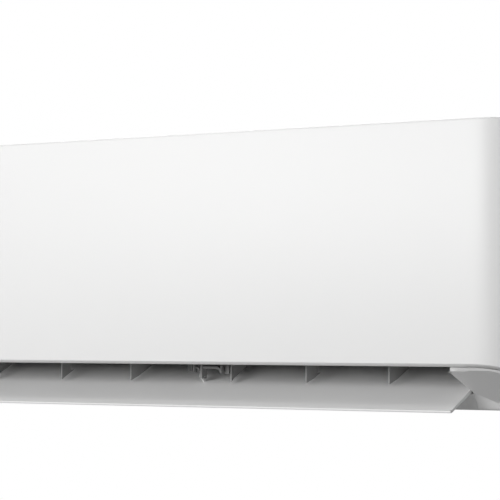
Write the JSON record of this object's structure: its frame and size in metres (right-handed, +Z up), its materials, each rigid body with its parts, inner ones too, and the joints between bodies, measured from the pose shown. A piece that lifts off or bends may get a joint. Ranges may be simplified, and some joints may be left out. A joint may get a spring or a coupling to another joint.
{
  "type": "mini split indoor unit",
  "caption": "Wall-hung indoor unit of a split air conditioner, with a round-cornered front panel, an open air flap, swinging vanes, a cross-flow fan, a folded coil and lift-out filters.",
  "frame": {"origin": "middle of the mounting plate's back face, on the wall plane", "axes": "+X along the unit to the right seen from the front, +Y into the wall, +Z up"},
  "size_m": [0.895, 0.205, 0.2961],
  "materials": {
    "ivory_panel": "smooth satin white moulding",
    "ivory_shell": "satin white moulding",
    "ivory_flap": "smooth satin white moulding",
    "white_plastic": "plain white moulding",
    "black_plastic": "fine matt texture",
    "fan_plastic": "glass-filled moulding",
    "grey_plastic": "plain grey moulding",
    "vane_plastic": "plain grey moulding",
    "link_plastic": "slippery white moulding",
    "filter_plastic": "grey rim with fine mesh",
    "fin_aluminium": "bare fins",
    "copper_bend": "drawn copper bends on a plated sheet",
    "copper_pipe": "drawn copper",
    "nut_brass": "machined brass",
    "bearing_brass": "sintered bush",
    "steel_pin": "ground steel",
    "zinc_screw": "zinc plated",
    "galvanised_steel": "galvanised sheet",
    "motor_case": "plated steel can",
    "black_rubber": "matt rubber",
    "green_board": "lacquered circuit board with parts"
  },
  "bodies": {
    "cabinet": {"mounting_plate": "galvanised_steel", "rear_chassis": "black_plastic", "chassis_end_left": "black_plastic", "chassis_end_right": "black_plastic", "front_frame": "ivory_shell", "intake_grille": "ivory_shell", "bottom_cover": "ivory_shell", "panel_hinge_pin_left": "steel_pin", "panel_hinge_pin_right": "steel_pin", "frame_screw_left": "zinc_screw", "frame_screw_right": "zinc_screw", "fin_block_front_lower": "fin_aluminium", "fin_block_front_upper": "fin_aluminium", "fin_block_rear": "fin_aluminium", "tube_sheet_left": "copper_bend", "tube_sheet_right": "copper_bend", "drain_pan": "white_plastic", "drain_plug": "black_rubber", "upper_guide": "black_plastic", "outlet_floor": "white_plastic", "flap_centre_bracket": "grey_plastic", "flap_motor": "motor_case", "vane_motor_left": "motor_case", "vane_motor_right": "motor_case", "fan_bearing": "bearing_brass", "bearing_holder": "grey_plastic", "fan_motor": "white_plastic", "motor_clamp": "black_plastic", "control_box": "black_plastic", "control_box_cover": "black_plastic", "control_board": "green_board", "terminal_block": "black_plastic", "terminal_cover": "grey_plastic", "cable_clamp": "grey_plastic", "suction_pipe": "copper_pipe", "suction_flare_nut": "nut_brass", "liquid_pipe": "copper_pipe", "liquid_flare_nut": "nut_brass"},
    "panel": {"front_panel": "ivory_panel"},
    "flap": {"flap": "ivory_flap", "flap_end_pin": "steel_pin", "flap_drive_shaft": "steel_pin"},
    "fan": {"cross_flow_fan": "fan_plastic", "fan_shaft": "steel_pin", "fan_hub": "black_rubber", "motor_shaft": "steel_pin"},
    "vane_1": {"vane_1": "vane_plastic"},
    "vane_2": {"vane_2": "vane_plastic"},
    "vane_3": {"vane_3": "vane_plastic"},
    "vane_4": {"vane_4": "vane_plastic"},
    "vane_5": {"vane_5": "vane_plastic"},
    "vane_6": {"vane_6": "vane_plastic"},
    "link_left": {"vane_link_left": "link_plastic"},
    "link_right": {"vane_link_right": "link_plastic"},
    "crank_left": {"vane_crank_left": "link_plastic"},
    "crank_right": {"vane_crank_right": "link_plastic"},
    "filter_left": {"air_filter_left": "filter_plastic"},
    "filter_right": {"air_filter_right": "filter_plastic"},
    "button": {"emergency_button": "link_plastic"}
  },
  "joints": [
    {"name": "panel_hinge", "type": "hinge", "parent": "cabinet", "child": "panel", "pos_m": [0, -0.199, 0.141], "axis": [-1, 0, 0], "range_deg": [0, 70]},
    {"name": "flap_hinge", "type": "hinge", "parent": "cabinet", "child": "flap", "pos_m": [0, -0.1484, -0.1173], "axis": [1, 0, 0], "range_deg": [-49.4, 10]},
    {"name": "fan_spin", "type": "hinge", "parent": "cabinet", "child": "fan", "pos_m": [0, -0.093, -0.02498], "axis": [1, 0, 0], "continuous": true},
    {"name": "vane_1_swing", "type": "hinge", "parent": "cabinet", "child": "vane_1", "pos_m": [-0.2747, -0.143, -0.1], "axis": [0, 0, 1], "range_deg": [-28, 28]},
    {"name": "vane_2_swing", "type": "hinge", "parent": "cabinet", "child": "vane_2", "pos_m": [-0.1707, -0.143, -0.1], "axis": [0, 0, 1], "range_deg": [-28, 28]},
    {"name": "vane_3_swing", "type": "hinge", "parent": "cabinet", "child": "vane_3", "pos_m": [-0.0667, -0.143, -0.1], "axis": [0, 0, 1], "range_deg": [-28, 28]},
    {"name": "vane_4_swing", "type": "hinge", "parent": "cabinet", "child": "vane_4", "pos_m": [0.0667, -0.143, -0.1], "axis": [0, 0, 1], "range_deg": [-28, 28]},
    {"name": "vane_5_swing", "type": "hinge", "parent": "cabinet", "child": "vane_5", "pos_m": [0.1707, -0.143, -0.1], "axis": [0, 0, 1], "range_deg": [-28, 28]},
    {"name": "vane_6_swing", "type": "hinge", "parent": "cabinet", "child": "vane_6", "pos_m": [0.2747, -0.143, -0.1], "axis": [0, 0, 1], "range_deg": [-28, 28]},
    {"name": "crank_left_turn", "type": "hinge", "parent": "cabinet", "child": "crank_left", "pos_m": [-0.388, -0.143, -0.08], "axis": [0, 0, 1], "range_deg": [-28, 28]},
    {"name": "crank_right_turn", "type": "hinge", "parent": "cabinet", "child": "crank_right", "pos_m": [0.388, -0.143, -0.08], "axis": [0, 0, 1], "range_deg": [-28, 28]},
    {"name": "link_left_slide", "type": "slide", "parent": "cabinet", "child": "link_left", "axis": [1, 0, 0], "range_m": [-0.0078, 0.0078]},
    {"name": "link_right_slide", "type": "slide", "parent": "cabinet", "child": "link_right", "axis": [1, 0, 0], "range_m": [-0.0078, 0.0078]},
    {"name": "filter_left_lift", "type": "slide", "parent": "cabinet", "child": "filter_left", "axis": [0, 0, 1], "range_m": [0, 0.2]},
    {"name": "filter_right_lift", "type": "slide", "parent": "cabinet", "child": "filter_right", "axis": [0, 0, 1], "range_m": [0, 0.2]},
    {"name": "button_press", "type": "slide", "parent": "cabinet", "child": "button", "axis": [0, 1, 0], "range_m": [0, 0.002], "stiffness_N_per_m": 500}
  ],
  "couplings": [
    {"joint": "vane_1_swing", "follows": "link_left_slide", "rad_per_m": -62.5},
    {"joint": "vane_2_swing", "follows": "link_left_slide", "rad_per_m": -62.5},
    {"joint": "vane_3_swing", "follows": "link_left_slide", "rad_per_m": -62.5},
    {"joint": "crank_left_turn", "follows": "link_left_slide", "rad_per_m": -62.5},
    {"joint": "vane_4_swing", "follows": "link_right_slide", "rad_per_m": -62.5},
    {"joint": "vane_5_swing", "follows": "link_right_slide", "rad_per_m": -62.5},
    {"joint": "vane_6_swing", "follows": "link_right_slide", "rad_per_m": -62.5},
    {"joint": "crank_right_turn", "follows": "link_right_slide", "rad_per_m": -62.5}
  ]
}
